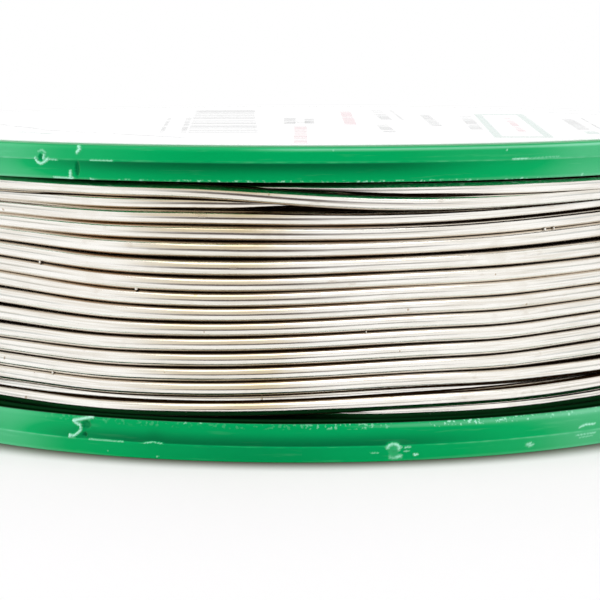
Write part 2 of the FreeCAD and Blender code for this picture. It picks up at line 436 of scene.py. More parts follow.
lowerMarks = {
    "wave": (-7.68, 0.42, 0.09),
    "outerDark": 0.26,
    "burrs": (-4, 10, 0.12),
    "strips": [(0.06, 0.07, 0.10, -60, -50), (1.84, 0.09, 0.04, -60, -50), (1.82, 0.13, 0.20, 0, 12)],
    "lines": [
        ([(-11.18, 1.98), (-11.97, 1.79), (-12.28, 1.70), (-12.07, 1.56), (-11.87, 1.49),
          (-11.87, 1.25), (-12.02, 1.10), (-12.28, 0.92), (-12.53, 0.90)], 0.08, 0.11, 1.0),
        ([(-11.40, 0.82), (-9.40, 0.82)], 0.03, 0.03, 0.8),
        ([(-8.20, 0.82), (-7.68, 0.89), (-7.20, 0.82)], 0.03, 0.03, 0.8),
        ([(4.38, 0.72), (4.46, 0.84), (4.64, 0.89), (4.86, 0.86), (4.97, 0.74), (4.92, 0.62), (4.76, 0.58)],
         0.10, 0.06, 0.9),
        ([(4.52, 0.24), (4.70, 0.20), (5.05, 0.26)], 0.09, 0.04, 0.8),
        ([(3.49, 0.46), (3.90, 0.47)], 0.035, 0.03, 0.5),
        ([(5.26, 0.70), (5.56, 0.72)], 0.04, 0.03, 0.8),
        ([(5.26, 0.50), (5.50, 0.51)], 0.035, 0.03, 0.6),
        ([(4.50, 0.52), (4.48, 0.36)], 0.03, 0.02, 0.5),
        ([(15.60, 1.02), (16.00, 1.12), (16.70, 1.10)], 0.045, 0.04, 1.0),
        ([(15.30, 0.62), (16.70, 0.64)], 0.03, 0.03, 0.7),
        ([(15.50, 0.48), (16.50, 0.50)], 0.03, 0.03, 0.5),
        ([(12.10, 0.42), (12.35, 0.48), (12.25, 0.34), (12.50, 0.40)], 0.06, 0.03, 0.7),
    ],
    "spots": [
        (-12.53, 0.91, 0.13, 0.10, 0.06, 1.0),
        (-12.24, 1.72, 0.13, 0.09, 0.06, 1.0),
        (-11.20, 1.97, 0.12, 0.08, 0.06, 1.0),
        (-11.56, 1.55, 0.28, 0.22, -0.10, -0.4),
        (-11.66, 1.03, 0.13, 0.12, -0.08, -0.7),
        (4.65, 0.52, 0.30, 0.36, 0.02, 0.07),
        (5.84, 0.30, 0.15, 0.07, 0.04, 1.0),
        (5.12, 0.73, 0.04, 0.04, 0.03, 0.6),
        (-7.50, 0.14, 0.08, 0.04, 0.03, 0.6),
        (-6.00, 1.93, 0.07, 0.05, 0.04, 0.6),
        (-5.21, 1.95, 0.06, 0.05, 0.04, 0.6),
        (2.95, 1.93, 0.06, 0.05, 0.04, 0.5),
    ],
}
flangeRadius = spoolBox[1][0]
fullHeight = spoolBox[1][2]
windingTop = fullHeight - spoolLook["upperFlange"]


def rimBearings():
    # Close together at the front, closest at the marks, and wide apart behind
    look = spoolLook
    half = look["frontHalf"]
    return np.concatenate([
        np.arange(-half, look["markedFrom"], look["frontStep"]),
        np.arange(look["markedFrom"], look["markedTo"], look["markedStep"]),
        np.arange(look["markedTo"], half, look["frontStep"]),
        np.arange(half, fullTurn - half, look["backStep"])])


def turnedShell(name, corners, bearing, spacing):
    outline = resample(roundedOutline(corners), spacing)
    points = onSpool(outline[None, :, 0], bearing[:, None], outline[None, :, 1])
    return gridObject(name, points, closedRows=True, closedColumns=True)


def makeBody():
    # The two flanges up to the rims, the barrel, the bore tube and the well between them
    look = spoolLook
    inner = look["boreRadius"] + look["boreWall"]
    outer = look["barrelRadius"] - look["barrelWall"]
    corners = [
        (look["boreRadius"] + look["boreChamfer"], 0, 0),
        (inner, 0, look["edgeRounding"]),
        (inner, windingTop, look["wellRounding"]),
        (outer, windingTop, look["wellRounding"]),
        (outer, 0, look["edgeRounding"]),
        (look["rimsFrom"], 0, 0),
        (look["rimsFrom"], look["lowerFlange"], 0),
        (look["barrelRadius"], look["lowerFlange"], look["rootRounding"]),
        (look["barrelRadius"], windingTop, look["rootRounding"]),
        (look["rimsFrom"], windingTop, 0),
        (look["rimsFrom"], fullHeight, 0),
        (look["boreRadius"] + look["boreChamfer"], fullHeight, 0),
        (look["boreRadius"], fullHeight - look["boreChamfer"], 0),
        (look["boreRadius"], look["boreChamfer"], 0),
    ]
    body = turnedShell("body", corners, np.arange(0, fullTurn, look["backStep"]), lambda start, end: 4.0)
    angle = np.arange(0, fullTurn, 15.0)
    distance = look["barrelRadius"] + look["startHoleRadius"]
    ring = onSpool(look["startHoleRadius"], angle, 0) + np.array([0, distance, 0])
    levels = np.array([-1.0, look["lowerFlange"] + 0.4])
    wall = ring[None, :, :] + levels[:, None, None] * np.array([0, 0, 1.0])
    ends = wall.mean(axis=1, keepdims=True) + 0 * wall
    rings = np.concatenate([ends[:1], wall, ends[1:]])
    cutter = gridObject("startHoleCutter", rings, closedColumns=True)
    closePoles(cutter)
    cutAway(body, cutter)
    return body


def makeRib(bearing):
    # A flat wall across the well, a closed box with its long way along the bearing
    look = spoolLook
    half = look["ribThickness"] / 2
    reach = np.array([look["boreRadius"] + look["boreWall"] / 2,
                      look["barrelRadius"] - look["barrelWall"] / 2])
    low, high = look["ribRecess"], windingTop + look["ribSink"]
    edge = look["edgeRounding"]
    section = np.array([(-half, low + edge), (-half + edge, low), (half - edge, low), (half, low + edge),
                        (half, high), (-half, high)])
    along = onSpool(1.0, bearing, 0)
    aside = onSpool(1.0, bearing + 90, 0)
    ends = np.repeat(reach, 2)[:, None, None]
    shrink = np.array([0.0, 1.0, 1.0, 0.0])[:, None, None]
    middle = section.mean(axis=0)
    section = middle + (section[None, :, :] - middle) * shrink
    points = ends * along + section[:, :, :1] * aside + section[:, :, 1:] * np.array([0, 0, 1.0])
    rib = gridObject("rib", points, closedColumns=True)
    closePoles(rib)
    return rib


def rimRelief(bearing, height, fromFace, marks):
    # The inner band starts at a ledge at the parting line, deepest there, and comes back out.
    # A ridge of flash on the ledge is a bell curve over height times waves over bearing.
    look = spoolLook
    across = np.radians(bearing) * flangeRadius
    waveAt, waveWidth, waveLift = marks["wave"]
    past = fromFace - look["partingInset"] - waveLift * bump(across, waveAt, waveWidth)
    dip = smoothStep(past, -0.02, 0.04) * (1 - 0.85 * smoothStep(past, 0.1, 0.85))
    strength = 0.45 + 0.55 * waves(bearing, 3, (7, 13, 29, 61, 113, 191))
    flash = bump(past, -0.01, 0.03) * np.clip(strength, 0, 1)
    lift = look["ridge"] * flash - look["ledge"] * dip

    # Painted light and shade: the bands are darkest next to the parting line in front, the flash ridge
    # gets a painted highlight, and a painted sheen makes them hazy towards both sides, though not behind.
    # outerDark paints shade on the outer band in front, and the strips are painted highlight and shadow.
    darkness = 0.66 - 0.6 * smoothStep(np.abs(bearing + 6), 13, 33)
    shade = 0.35 * flash - darkness * dip
    paintedSheen = 0.02 * smoothStep(np.abs(bearing + 3), 12, 27) + 0.13 * smoothStep(np.abs(bearing + 1), 27, 38)
    around = (bearing + fullTurn / 2) % fullTurn - fullTurn / 2
    shade = shade + paintedSheen * (1 - smoothStep(np.abs(around), 48, 75))
    shade = shade - marks["outerDark"] * bump(bearing, -6, 15) * smoothStep(past, 0.0, -0.05)
    for place, width, light, fromBearing, toBearing in marks["strips"]:
        amount = light * smoothStep(bearing, fromBearing, toBearing)
        shade = shade + amount * bump(fromFace, place, width)

    # The marks' places are moved a little by waves, so that their lines are ragged
    across = across + 0.022 * np.sin(41 * height + 23 * across) + 0.015 * np.sin(77 * height)
    height = height + 0.018 * np.sin(53 * across + 17 * height)
    # Lines and spots whiten the plastic with painted highlight on their raised edges, and put painted shade
    # in dents
    for points, width, rise, light in marks["lines"]:
        near = bump(awayFromLine(across, height, points), 0, width)
        lift = lift + rise * near
        shade = shade * (1 - near) + light * near
    for placeAcross, placeHeight, halfWidth, halfHeight, rise, light in marks["spots"]:
        far = np.hypot((across - placeAcross) / halfWidth, (height - placeHeight) / halfHeight)
        near = 1 - smoothStep(far, 0.6, 1.2)
        lift = lift + rise * near
        shade = shade * (1 - near) + light * near
    burrFrom, burrFull, burrLeast = marks["burrs"]
    burred = smoothStep(fromFace, look["innerEdge"], look["innerEdge"] + 0.1)
    burred = burred * (burrLeast + (1 - burrLeast) * smoothStep(bearing, burrFrom, burrFull))
    return lift, shade, burred


def makeRim(name, low, high, marks):
    # The rim's outline turned about the axis. The lift is added to the radius on the outer band.
    look = spoolLook
    lip = flangeRadius - look["rimDraft"]
    atBase = low == 0
    parting = look["partingInset"] if atBase else high - look["partingInset"]
    below = look["baseRounding"] if atBase else look["innerRounding"]
    above = look["innerRounding"] if atBase else look["faceRounding"]
    corners = [(look["rimsFrom"], low, 0), (lip, low, below), (flangeRadius, parting, 0),
               (lip, high, above), (look["rimsFrom"], high, 0)]

    def spacing(start, end):
        return look["bandStep"] if min(start[0], end[0]) > flangeRadius - 0.3 else 3.0

    outline = resample(roundedOutline(corners, 4), spacing)
    bearing = rimBearings()[:, None]
    radius, height = np.broadcast_arrays(outline[None, :, 0], 0 * bearing + outline[None, :, 1])
    fromFace = height if atBase else fullHeight - height
    lift, shade, burred = rimRelief(bearing, height, fromFace, marks)
    onBand = smoothStep(radius, flangeRadius - 0.35, flangeRadius - 0.1)
    points = onSpool(radius + onBand * lift, bearing, height)
    rim = gridObject(name, points, closedRows=True, closedColumns=True)
    # The shade layer carries painted highlight and shade and the marks that whiten the plastic, and the
    # burred layer the burrs
    for layerName, value in (("shade", shade), ("burred", burred)):
        layer = rim.data.attributes.new(layerName, "FLOAT", "POINT")
        layer.data.foreach_set("value", (onBand * value).astype(np.float32).ravel())
    return rim


def makeSpool():
    shells = [makeRim("lowerRim", 0.0, spoolLook["lowerFlange"], lowerMarks),
              makeRim("upperRim", windingTop, fullHeight, upperMarks), makeBody()]
    for number in range(spoolLook["ribs"]):
        shells.append(makeRib(90 + number * fullTurn / spoolLook["ribs"]))
    piece = joined("spoolMoulding", shells)
    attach(piece, root)
    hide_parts("spool")
    return piece


plasticLook = {
    "deep": (0.0, 0.355, 0.088, 1.0),
    "light": (0.0, 0.44, 0.125, 1.0),
    # dark and shadow are colours of painted shade, and the colour that whitens the plastic is also that of
    # painted highlight and sheen
    "dark": (0.0, 0.012, 0.002, 1.0),
    "shadow": (0.004, 0.036, 0.010, 1.0),
    "whitenedAndLit": (0.52, 1.0, 0.78, 1.0),
    "glossTint": (0.05, 1.0, 0.55, 1.0),
    "gloss": 0.5,
    "roughness": 0.3,
    "rubs": 0.04,
    "specks": 0.25,
    "burrs": 0.8,
    "litEdge": 0.55,
}


def plasticMaterial():
    look = plasticLook
    material, tree = newMaterial("greenPlastic")
    place = objectPlace(tree)
    x, y, z = split(place)
    height = times(z, 1 / millimetre)
    colour = blendColour(noise(place, 160.0), look["deep"], look["light"])

    # Rubs along the rim, on bearing and height, and dust
    around = addNode(tree, "ShaderNodeCombineXYZ", X=times(mathNode("ARCTAN2", x, y), flangeRadius),
                     Y=height, Z=0.0).outputs[0]
    rubs = groupMask(tree, fineScratches, Vector=around, Density=3.0, Stretch=0.08, Threshold=0.58)
    specks = groupMask(tree, smallSpecks, Vector=place, Scale=1900.0, Size=0.15, Density=0.035)
    worn = plus(times(rubs, look["rubs"]), times(specks, look["specks"]))
    colour = blendColour(worn, colour, look["whitenedAndLit"])

    # The shade and the burrs of the rims' own layers. The shade paints highlight and shade onto the rims,
    # along with the marks that whiten them.
    shade, burred = [addNode(tree, "ShaderNodeAttribute", {"attribute_name": layer}).outputs["Fac"]
                     for layer in ("shade", "burred")]
    crumbs = times(ramp(noise(place, 5200.0, 2.0), 0.53, 0.65), ramp(noise(place, 260.0, 2.0), 0.38, 0.55))
    lighter, paintedShade = [addNode(tree, "ShaderNodeClamp", Value=times(shade, sign)).outputs[0]
                       for sign in (1.0, -1.0)]
    whitenedAndLit = mathNode("MAXIMUM", lighter, times(crumbs, burred, look["burrs"]))
    colour = blendColour(whitenedAndLit, colour, look["whitenedAndLit"])
    colour = blendColour(paintedShade, colour, look["dark"])

    # Painted shadow in the narrow space between the flanges, with a darker ring of painted shade near the
    # lower flange's edge. Painted light makes the shadow paler near the upper flange's edge.
    away = times(mathNode("SQRT", plus(times(x, x), times(y, y))), 1 / millimetre)
    halfWidth = (windingTop - spoolLook["lowerFlange"]) / 2
    fromMiddle = mathNode("ABSOLUTE", minus(height, halfWidth + spoolLook["lowerFlange"]))
    between = times(ramp(away, flangeRadius - 0.18, flangeRadius - 0.06, 1.0, 0.0),
                    ramp(fromMiddle, halfWidth + 0.02, halfWidth + 0.06, 1.0, 0.0),
                    ramp(away, spoolLook["barrelRadius"] - 0.2, spoolLook["barrelRadius"] - 0.1))
    upper = ramp(height, 4.0, 12.0)
    lit = times(ramp(away, flangeRadius - 1.3, flangeRadius - 0.4, 0.0, look["litEdge"]), upper)
    colour = blendColour(times(between, minus(1.0, lit)), colour, look["shadow"])
    paintedShadeRing = times(between, ramp(away, flangeRadius - 0.95, flangeRadius - 0.5), minus(1.0, upper))
    colour = blendColour(paintedShadeRing, colour, look["dark"])

    roughness = ramp(rubs, 0.0, 1.0, look["roughness"], look["roughness"] + 0.15)
    return finishMaterial(material, Base_Color=colour, Roughness=roughness,
                          Specular_IOR_Level=times(minus(1.0, between), look["gloss"]),
                          Specular_Tint=look["glossTint"],
                          Normal=relief(noise(place, 2500.0, 2.0), 0.08, 0.00005))


greenPlastic = plasticMaterial()
spoolPiece = makeSpool()
spoolPiece.data.materials.append(greenPlastic)
print("spool made:", len(spoolPiece.data.polygons), "faces")


# The winding. A turn number grows by one with each time round, and is whole at the front.
# Heights and radii are those of the wire's middle.

wireLook = {
    "diameter": 0.8,
    "turns": 15,
    "endBearing": 284.0,  # past the front of the last turn
    "startTurn": -0.02,
    "radius": 23.3,
    "step": 1.5,
    "sides": 24,
    "lowest": 2.45,
    "slot": 0.775,
    "firstGap": 0.22,
    "upperSpread": 0.34,
    "earlyClimb": 0.41,
    "lateClimb": 0.26,
    "underDrop": 0.69,
    "underShift": 0.40,
    "underStep": 2.0,
    "underSides": 16,
    "grooveRadius": 23.5,
    "crumbRadius": 0.09,
    "coreRadius": 22.35,
    "endRings": (1.0, 1.0, 0.6, 0.0),
    "endLength": 0.02,
}
bearingsOfShape = (-43.0, -12.8, 12.3, 42.5)


def heightsAtFront(number):
    # The heights of one turn at the four bearings of the shape. Turns climb by one slot a time.
    # Low turns climb mostly in front and high turns later, and the left side bulges upwards.
    look = wireLook
    middle = look["lowest"] + look["slot"] * (number - 1) + look["firstGap"] * (number >= 2)
    middle = middle + look["upperSpread"] * smoothStep(number, 9, 12)
    left = middle + 0.06 + 0.45 * smoothStep(number, 4.6, 8.4) - 0.36 * smoothStep(number, 9.2, 13)
    left = left - 0.09 * (number == 1)
    right = middle + look["earlyClimb"] * (1 - (min(number, 12) / 12) ** 3.5) - 0.04 * (number == 1)
    late = look["lateClimb"] + 0.14 * smoothStep(number, 9.5, 11) - 0.22 * bump(number, 2, 0.8)
    return [left, middle, right, right + late]


def turnKnots():
    # The turn numbers and heights that the wire goes through. The first turn starts on the flange,
    # and the last comes down over the one below it, which stays behind it.
    look = wireLook
    shapes = {number: heightsAtFront(number) for number in range(1, look["turns"] + 1)}
    shapes[0] = [2.32, 2.32, 2.32, 2.38]
    top = windingTop - look["diameter"] / 2
    shapes[14] = [top - 0.68, top - 0.75, top - 0.72, top - 0.56]
    shapes[15] = [top, top - 0.13, top - 0.73, top - 0.58]
    knots = np.array([number + bearing / fullTurn
                      for number in sorted(shapes) for bearing in bearingsOfShape])
    heights = np.array([height for number in sorted(shapes) for height in shapes[number]])
    knots = np.append(knots, look["turns"] + 200 / fullTurn)
    return knots, np.append(heights, top - 0.35)


knotTurns, knotHeights = turnKnots()


def turnHeight(turn):
    return throughPoints(turn, knotTurns, knotHeights)


def wirePath(turn):
    # The height is the turn's, less two small sags, and the radius is one for all turns, plus
    # what each of these adds over the bearing on its own turn
    look = wireLook
    number = np.round(turn)
    bearing = (turn - number) * fullTurn
    height = turnHeight(turn) + 0.012 * waves(turn * fullTurn / 3.1, 5, (3, 7, 11))
    height = height - 0.07 * bump(bearing, -26, 9) - 0.11 * bump(bearing, 26, 8) * bump(number, 5, 4)

    # The last turn comes out over the one beneath it, which stays behind it in front
    over = 0.12 + 0.62 * smoothStep(bearing, -26, 8) + 0.45 * (1 - smoothStep(bearing, -43, -28))
    dive = 0.55 * smoothStep(bearing, -10, 2) * (1 - smoothStep(bearing, 45, 70))
    beneath = 0.42 * smoothStep(bearing, 60, 180) - 0.12 - dive

    # The first turn bulges twice, and the wire's start comes up from the layer below
    bulges = 0.2 * bump(bearing, -24, 20) + 0.45 * bump(bearing, 30, 28)
    start = 0.10 * (1 - smoothStep(turn, 0.16, 0.6)) - 0.9 * (1 - smoothStep(turn, -0.012, 0.03))
    radius = look["radius"] + start + 0.15 * bump(bearing, 25, 9) * (number == 0)
    radius = radius + bulges * (number == 1) + beneath * (number == look["turns"] - 1)
    radius = radius + over * (number >= look["turns"])
    return onSpool(radius, turn * fullTurn, height)


def unit(vectors):
    return vectors / np.linalg.norm(vectors, axis=-1, keepdims=True)


def tubeAlong(name, path, sectionRadius, sides):
    # A circle carried along the path. Around the section, 0 points away from the spool's axis.
    way = unit(np.gradient(path, axis=0))
    outward = unit(path * np.array([1.0, 1.0, 0.0]))
    outward = unit(outward - way * np.sum(outward * way, axis=1, keepdims=True))
    sideways = np.cross(way, outward)
    angle = np.linspace(0, 2 * np.pi, sides, endpoint=False)[None, :, None]
    ring = np.cos(angle) * outward[:, None, :] + np.sin(angle) * sideways[:, None, :]
    points = path[:, None, :] + ring * sectionRadius[:, None, None]
    length = np.concatenate([[0], np.cumsum(np.linalg.norm(np.diff(path, axis=0), axis=1))])
    around = np.arange(sides + 1) / sides
    return gridObject(name, points, closedColumns=True, uv=(length, around))


def capped(path, radius):
    # Extra rings at both ends, whose radius shrinks to nothing
    ends = np.array(wireLook["endRings"])
    reach = wireLook["endLength"] * np.linspace(0.0, 1.0, len(ends))[:, None]
    startRings = path[0] + unit(path[0] - path[1]) * reach[::-1]
    endRings = path[-1] + unit(path[-1] - path[-2]) * reach
    longer = np.vstack([startRings, path[1:-1], endRings])
    return longer, radius * np.concatenate([ends[::-1], np.ones(len(path) - 2), ends])


metalLook = {
    "bright": (1.0, 0.98, 0.935, 1.0),
    "dull": (0.84, 0.80, 0.73, 1.0),
    "beige": (0.56, 0.43, 0.22, 1.0),
    "warm": (0.40, 0.26, 0.13, 1.0),
    # groove is the colour of the painted shade in the grooves between turns
    "groove": (0.014, 0.006, 0.002, 1.0),
    "roughness": 0.15,
    "scratches": 0.25,
    "specks": 0.55,
    "beigeAt": -0.19,  # the bearing where the beige is strongest, in radians
    "grooveEdge": 0.06,
}


def wireMaterial(name, grooveFrom, grooveNarrowing):
    # The UV runs along the wire in millimetres and around it from 0 to 1, with 0 on the outside.
    # Bearings are in radians here. The side is 0 on the outside of the wire and 1 above and below.
    look = metalLook
    material, tree = newMaterial(name)
    mapped = addNode(tree, "ShaderNodeUVMap", {"uv_map": "alongAndAround"}).outputs[0]
    place = objectPlace(tree)
    x, y, z = split(place)
    height = times(z, 1 / millimetre)
    bearing = mathNode("ARCTAN2", x, times(y, -1.0))
    fall = mathNode("SINE", times(split(mapped)[1], 2 * np.pi))
    side = mathNode("ABSOLUTE", fall)

    # Drawing lines along the wire, smudges, scratches and specks
    drawn = noise(vectorMath("MULTIPLY", mapped, (0.10, 9.0, 1.0))[0], 2.0, 5.0, 0.6)
    smudged = ramp(noise(place, 420.0, 3.0, 0.6), 0.52, 0.70, 0.0, 0.6)
    colour = blendColour(mathNode("MAXIMUM", ramp(drawn, 0.42, 0.64), smudged), look["bright"], look["dull"])
    scratches = groupMask(tree, fineScratches, Vector=mapped, Density=1.6, Stretch=0.25, Threshold=0.62)
    specks = groupMask(tree, smallSpecks, Vector=place, Scale=2400.0, Size=0.28, Density=0.05)
    worn = mathNode("MAXIMUM", times(scratches, look["scratches"]), times(specks, look["specks"]))
    colour = blendColour(worn, colour, look["warm"])

    # Beige on the upper shoulders, and warm brown along the edges of the grooves, in patches that are
    # strongest left of the front
    patches = noise(place, 70.0)
    away = mathNode("ABSOLUTE", minus(bearing, look["beigeAt"]))
    beigeShare = times(ramp(fall, -0.2, -0.04, 1.0, 0.22), ramp(patches, 0.34, 0.60, 0.62, 1.0),
                      ramp(away, 0.05, 0.25, 1.0, 0.08))
    colour = blendColour(beigeShare, colour, look["beige"])
    edge = times(ramp(side, 0.62, 0.88), ramp(patches, 0.35, 0.6, 0.5, 1.0),
                 ramp(away, 0.20, 0.50, 1.0, 0.35))
    colour = blendColour(edge, colour, look["warm"])

    # Painted shade darkens the grooves between turns and takes off the metal's gloss there. It narrows
    # away from the beige, most on the left, and is wider between the low turns, and between the
    # highest turns on the right.
    narrower = plus(ramp(away, 0.05, 0.22, 0.0, grooveNarrowing),
                    ramp(bearing, -0.44, -0.30, 0.8 * grooveNarrowing, 0.0))
    wider = plus(ramp(height, 6.0, 9.0, 0.05, 0.0),
                 times(ramp(bearing, 0.05, 0.30, 0.0, 0.12), ramp(height, 11.6, 12.2)))
    groove = ramp(plus(minus(side, narrower), wider), grooveFrom, grooveFrom + look["grooveEdge"])
    colour = blendColour(groove, colour, look["groove"])
    unshaded = minus(1.0, groove)
    roughness = ramp(scratches, 0.0, 1.0, look["roughness"], look["roughness"] + 0.15)
    return finishMaterial(material, Base_Color=colour, Metallic=unshaded, Roughness=roughness,
                          Specular_IOR_Level=times(unshaded, 0.5), Normal=relief(drawn, 0.15, 0.00003))


# Scraped places where a crumb of metal bridges the groove: (bearing, height, half length)
wireCrumbs = [(-21.2, 8.54, 0.09), (-35.7, 9.66, 0.06), (-33.8, 3.83, 0.06), (32.6, 11.48, 0.08),
              (34.0, 11.5, 0.05), (-5.0, 2.79, 0.05), (8.0, 6.4, 0.03)]


def makeCrumb(bearing, height, halfLength):
    # A small ball drawn out along the wire, in the nearest groove
    numbers = np.arange(1, wireLook["turns"] - 1)
    turn = numbers + bearing / fullTurn
    grooves = (turnHeight(turn) + turnHeight(turn + 1)) / 2
    height = grooves[np.argmin(np.abs(grooves - height))]
    angle = np.linspace(0, np.pi, 9)
    turned = np.degrees(np.cos(angle) * halfLength / wireLook["grooveRadius"])
    path = onSpool(wireLook["radius"] + 0.24, bearing - turned, height)
    return tubeAlong("crumb", path, wireLook["crumbRadius"] * np.sin(angle), 10)


def makeWire():
    look = wireLook
    count = int((look["turns"] + 0.8) * fullTurn / look["step"])
    turn = np.linspace(look["startTurn"], look["turns"] + look["endBearing"] / fullTurn, count)
    path = wirePath(turn)
    path, radii = capped(path, look["diameter"] / 2)
    fuller = np.interp(turn, [1.6, 2.0, 12.4, 12.8], [0, 1, 1, 0])
    pitch = (turnHeight(turn + 1) - turnHeight(turn - 1)) / 2
    swell = np.clip(pitch / look["diameter"], 0.99, 1.10) - 1
    radii = radii * (1 + np.interp(np.arange(len(radii)), np.arange(len(turn)) + 3, fuller * swell))
    shells = [tubeAlong("wholeWire", path, radii, look["sides"])]
    shells += [makeCrumb(*crumb) for crumb in wireCrumbs]
    for shell in shells:
        closePoles(shell)
    piece = joined("outerTurns", shells)
    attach(piece, root)
    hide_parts("wire_outer_turns")
    return piece


def makeBuriedTurns():
    # The layer beneath, half a slot away. Its last turn lies against the upper flange, where it
    # shows above the crossing, and a sliver of its first turn shows at the front.
    look = wireLook
    count = int((look["turns"] + 0.5) * fullTurn / look["underStep"])
    turn = np.linspace(0.2, look["turns"] + 0.4, count)
    last = smoothStep(turn, look["turns"] - 0.75, look["turns"] - 0.45)
    firstBright = int(np.argmax(last > 0.5))
    sliver = smoothStep(turn, 0.82, 0.90) * (1 - smoothStep(turn, 1.07, 1.15))
    radius = look["radius"] - look["underDrop"] + 0.24 * last + 0.50 * sliver
    fromFront = (turn - look["turns"]) * fullTurn
    comingOut = 0.45 * smoothStep(fromFront, -8, 6) + 0.5 * smoothStep(fromFront, 0, 14)
    comingOut = comingOut + 0.35 * smoothStep(fromFront, 10, 34)
    radius = radius + comingOut * (1 - smoothStep(fromFront, 70, 130))
    top = windingTop - look["diameter"] / 2
    beside = top - 0.05 * smoothStep(fromFront, -4, 8)
    under = np.minimum(turnHeight(turn) + look["underShift"] + 0.12 * sliver, top)
    height = under * (1 - last) + beside * last
    path = onSpool(radius, turn * fullTurn, height)
    path, radii = capped(path, look["diameter"] / 2)
    piece = tubeAlong("buriedTurns", path, radii, look["underSides"])
    # Painted shade: the buried layer is dark all round, apart from its last turn and the sliver, which are
    # bright wire
    piece.data.materials.append(shadowedSolder)
    piece.data.materials.append(solderWire)
    bright = (np.arange(len(turn)) >= firstBright) | (sliver > 0.2)
    faces = np.repeat(bright, look["underSides"])[:len(piece.data.polygons)]
    faces = np.append(faces, np.ones(len(piece.data.polygons) - len(faces), bool))
    piece.data.polygons.foreach_set("material_index", faces.astype(np.int32))
    closePoles(piece)
    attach(piece, root)


def makeWindingCore():
    # The rest of the winding, as one ring
    look = wireLook
    coreInside = spoolLook["barrelRadius"] + 0.05
    corners = [(coreInside, spoolLook["lowerFlange"], 0),
               (look["coreRadius"], spoolLook["lowerFlange"], 0.1),
               (look["coreRadius"], windingTop, 0.1),
               (coreInside, windingTop, 0)]
    outline = roundedOutline(corners)
    bearing = np.arange(0, fullTurn, spoolLook["backStep"])[:, None]
    points = onSpool(outline[None, :, 0], bearing, outline[None, :, 1])
    core = gridObject("windingCore", points, closedRows=True, closedColumns=True)
    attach(core, root)
    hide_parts("wire_inner_layers")
    return core


solderWire = wireMaterial("solderWire", 0.83, 0.05)
# Painted shade: this finish is dark all round, for the buried turns seen in the gaps
shadowedSolder = wireMaterial("solderInGrooves", -0.2, 0.0)
outerTurns = makeWire()
outerTurns.data.materials.append(solderWire)
makeBuriedTurns()
windingCore = makeWindingCore()


def coreMaterial():
    material, tree = newMaterial("buriedSolder")
    # Painted shade: the rest of the winding is dark metal, mottled by noise
    colour = blendColour(noise(objectPlace(tree), 900.0), (0.03, 0.025, 0.02, 1), (0.10, 0.09, 0.07, 1))
    return finishMaterial(material, Base_Color=colour, Metallic=1.0, Roughness=0.5)


windingCore.data.materials.append(coreMaterial())


# The wire's two ends: the flux in the cut end, and the inner end in the hole of the lower flange

endsLook = {
    "fluxRadius": 0.17,
    "fluxProud": 0.03,
    "fluxDepth": 0.3,
    "innerFrom": 0.35,
    "innerTo": 2.3,
    "innerBend": 1.2,
    "flux": (0.62, 0.36, 0.10, 1.0),
    "fluxSkin": (0.80, 0.58, 0.26, 1.0),
}


def makeFlux():
    # A short round plug that stands out of the cut face a little
    endTurn = wireLook["turns"] + wireLook["endBearing"] / fullTurn
    beforeEnd, end = wirePath(np.array([endTurn - 0.001, endTurn]))
    way = unit(end - beforeEnd)
    face = wireLook["endLength"] + endsLook["fluxProud"]
    path = end + way * np.array([-endsLook["fluxDepth"], 0.0, face, face])[:, None]
    path[0], path[3] = path[0] - way * 0.001, path[3] + way * 0.001
    radii = endsLook["fluxRadius"] * np.array([0.0, 1.0, 1.0, 0.0])
    piece = tubeAlong("fluxCore", path, radii, 20)
    closePoles(piece)
    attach(piece, root)
    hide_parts("flux_core")
    return piece


def makeInnerEnd():
    # The wire stands in the hole and bends over into the winding
    distance = spoolLook["barrelRadius"] + spoolLook["startHoleRadius"]
    share = np.linspace(0, 1, 24)
    height = endsLook["innerFrom"] + (endsLook["innerTo"] - endsLook["innerFrom"]) * share
    bend = endsLook["innerBend"] * smoothStep(share, 0.6, 1.4)
    path = np.stack([bend, distance + 0 * share, height], axis=-1)
    path, radii = capped(path, wireLook["diameter"] / 2)
    piece = tubeAlong("wireInnerEnd", path, radii, 20)
    closePoles(piece)
    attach(piece, root)
    return piece


def fluxMaterial():
    # Amber resin with a dull, cloudy skin
    material, tree = newMaterial("fluxResin")
    skin = noise(objectPlace(tree), 6000.0)
    colour = blendColour(ramp(skin, 0.35, 0.65), endsLook["flux"], endsLook["fluxSkin"])
    return finishMaterial(material, Base_Color=colour, Roughness=0.35, Normal=relief(skin, 0.3, 0.00002))


fluxCore = makeFlux()
fluxCore.data.materials.append(fluxMaterial())
wireInnerEnd = makeInnerEnd()
wireInnerEnd.data.materials.append(solderWire)
print("winding made")


# The paper label

labelLook = {
    "reach": 0.5,  # further than the plain label
    "rounding": 0.03,
    "paper": (0.93, 0.93, 0.92, 1.0),
    "fibre": (0.97, 0.97, 0.97, 1.0),
    "dirt": (0.30, 0.28, 0.26, 1.0),
    "rubs": 0.05,
    "dust": 0.35,
    "ink": 0.9,
    "black": (0.03, 0.03, 0.035, 1.0),
    "red": (0.55, 0.04, 0.10, 1.0),
    "green": (0.01, 0.30, 0.18, 1.0),
}

